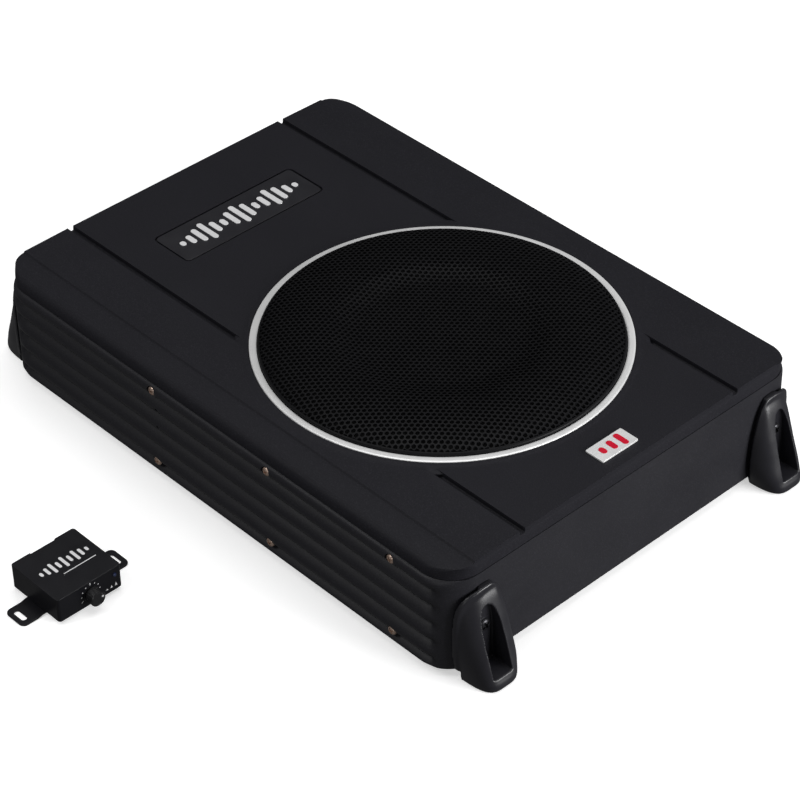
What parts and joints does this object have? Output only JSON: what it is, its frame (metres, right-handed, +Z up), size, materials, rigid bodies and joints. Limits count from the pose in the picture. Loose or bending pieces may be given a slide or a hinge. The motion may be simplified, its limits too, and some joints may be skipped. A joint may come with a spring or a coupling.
{
  "type": "powered car subwoofer",
  "caption": "Low cast box with ribbed sides, a round domed mesh grille in a silver ring, corner feet, a connector panel and a separate wired level control with a knob.",
  "frame": {"origin": "centre of the enclosure's underside", "axes": "+X towards the plain end, -X towards the connector panel, +Y across the enclosure away from the level control, +Z up through the grille"},
  "size_m": [0.3828, 0.3699, 0.0774],
  "materials": {
    "cast_black": "fine black powder coat on a casting",
    "sheet_black": "satin black paint",
    "grille_black": "satin black paint on perforated sheet",
    "trim_silver": "fine satin silver",
    "moulded_black": "satin moulded black",
    "socket_grey": "satin dark grey",
    "switch_grey": "satin pale grey",
    "rubber_black": "matt black",
    "screw_bronze": "warm plated steel",
    "basket_steel": "satin black paint",
    "plate_steel": "zinc plated",
    "ferrite": "matt dark grey ferrite",
    "copper_wire": "enamelled copper wire",
    "cone_black": "fine matt black",
    "spider_cloth": "impregnated cloth",
    "circuit_green": "solder mask",
    "heatsink_aluminium": "plain extruded",
    "capacitor_blue": "shrink sleeve",
    "fuse_orange": "translucent amber",
    "jack_white": "glossy white",
    "jack_red": "glossy red",
    "led_blue": "clear tinted blue"
  },
  "bodies": {
    "enclosure": {"housing_body": "cast_black", "bottom_plate": "sheet_black", "cover_gasket": "rubber_black", "top_cover": "cast_black", "trim_ring": "trim_silver", "grille": "grille_black", "emblem_plate": "moulded_black", "corner_badge": "trim_silver", "woofer_basket": "basket_steel", "back_plate": "plate_steel", "magnet": "ferrite", "top_plate": "plate_steel", "surround": "rubber_black", "spider": "spider_cloth", "amplifier_board": "circuit_green", "heatsink_bar": "heatsink_aluminium", "transformer": "copper_wire", "capacitor": "capacitor_blue", "control_panel": "moulded_black", "power_socket": "moulded_black", "high_level_socket": "socket_grey", "remote_socket": "socket_grey", "rca_jack_left": "jack_white", "rca_jack_right": "jack_red", "power_led": "led_blue", "side_screw_near_lower_1": "screw_bronze", "side_screw_near_upper_1": "screw_bronze", "side_screw_near_lower_2": "screw_bronze", "side_screw_near_upper_2": "screw_bronze", "side_screw_near_lower_3": "screw_bronze", "side_screw_near_upper_3": "screw_bronze", "side_screw_far_lower_1": "screw_bronze", "side_screw_far_upper_1": "screw_bronze", "side_screw_far_lower_2": "screw_bronze", "side_screw_far_upper_2": "screw_bronze", "side_screw_far_lower_3": "screw_bronze", "side_screw_far_upper_3": "screw_bronze", "foot_plain_end_near": "moulded_black", "foot_plain_end_far": "moulded_black", "foot_connector_end_near": "moulded_black", "foot_connector_end_far": "moulded_black", "foot_screw_plain_end_near": "screw_bronze", "foot_screw_plain_end_far": "screw_bronze", "foot_screw_connector_end_near": "screw_bronze", "foot_screw_connector_end_far": "screw_bronze"},
    "woofer_cone": {"cone": "cone_black", "dust_cap": "cone_black", "voice_coil": "copper_wire"},
    "gain_control": {"gain_knob": "moulded_black"},
    "crossover_control": {"crossover_knob": "moulded_black"},
    "bass_boost_control": {"bass_boost_knob": "moulded_black"},
    "phase_selector": {"phase_switch": "switch_grey"},
    "fuse_blade": {"fuse": "fuse_orange"},
    "level_control": {"remote_base": "sheet_black", "remote_case": "sheet_black", "remote_board": "circuit_green", "remote_jack": "moulded_black", "remote_potentiometer": "plate_steel", "remote_led": "led_blue"},
    "level_control_knob": {"remote_knob": "moulded_black"}
  },
  "joints": [
    {"name": "cone_travel", "type": "slide", "parent": "enclosure", "child": "woofer_cone", "axis": [0, 0, 1], "range_m": [-0.006, 0.006], "stiffness_N_per_m": 4000, "deforming": ["surround", "spider"]},
    {"name": "gain_turn", "type": "hinge", "parent": "enclosure", "child": "gain_control", "pos_m": [-0.1718, -0.042, 0.034], "axis": [-1, 0, 0], "range_deg": [-140, 140]},
    {"name": "crossover_turn", "type": "hinge", "parent": "enclosure", "child": "crossover_control", "pos_m": [-0.1718, -0.056, 0.034], "axis": [-1, 0, 0], "range_deg": [-140, 140]},
    {"name": "bass_boost_turn", "type": "hinge", "parent": "enclosure", "child": "bass_boost_control", "pos_m": [-0.1718, -0.07, 0.034], "axis": [-1, 0, 0], "range_deg": [-140, 140]},
    {"name": "phase_slide", "type": "slide", "parent": "enclosure", "child": "phase_selector", "axis": [0, 1, 0], "range_m": [0, 0.005]},
    {"name": "fuse_pull", "type": "slide", "parent": "enclosure", "child": "fuse_blade", "axis": [-1, 0, 0], "range_m": [0, 0.012]},
    {"name": "level_control_lift", "type": "slide", "parent": "enclosure", "child": "level_control", "axis": [0, 0, 1], "range_m": [0, 0.12]},
    {"name": "level_knob_turn", "type": "hinge", "parent": "level_control", "child": "level_control_knob", "pos_m": [0.0089, -0.2108, 0.0046], "axis": [1, 0, 0], "range_deg": [-140, 140]}
  ]
}
